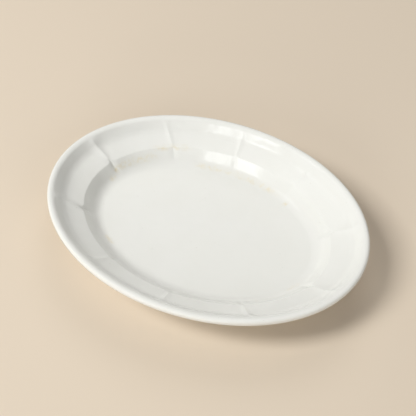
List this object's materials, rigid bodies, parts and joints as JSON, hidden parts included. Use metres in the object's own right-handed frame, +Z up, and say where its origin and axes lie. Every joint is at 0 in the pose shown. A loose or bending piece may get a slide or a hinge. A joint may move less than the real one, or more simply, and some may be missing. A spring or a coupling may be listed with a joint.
{
  "type": "oval serving dish",
  "caption": "Oval glazed ironstone serving dish with a plain rounded lip, a panelled rim with low ribs, a grooved steep wall, a flat floor and a foot ring.",
  "frame": {"origin": "middle of the foot ring's underside, on the table", "axes": "+X along the dish, +Y across it, +Z up"},
  "size_m": [0.3, 0.214, 0.0413],
  "materials": {
    "bare_clay": "fired white clay, bare and matt where it shows on the foot ring",
    "white_glaze": "glossy warm white glaze, faintly uneven, with light tea-coloured staining at the foot of the wall"
  },
  "bodies": {
    "root": {"clay_body": "bare_clay", "face_glaze": "white_glaze", "base_glaze": "white_glaze"}
  },
  "joints": []
}
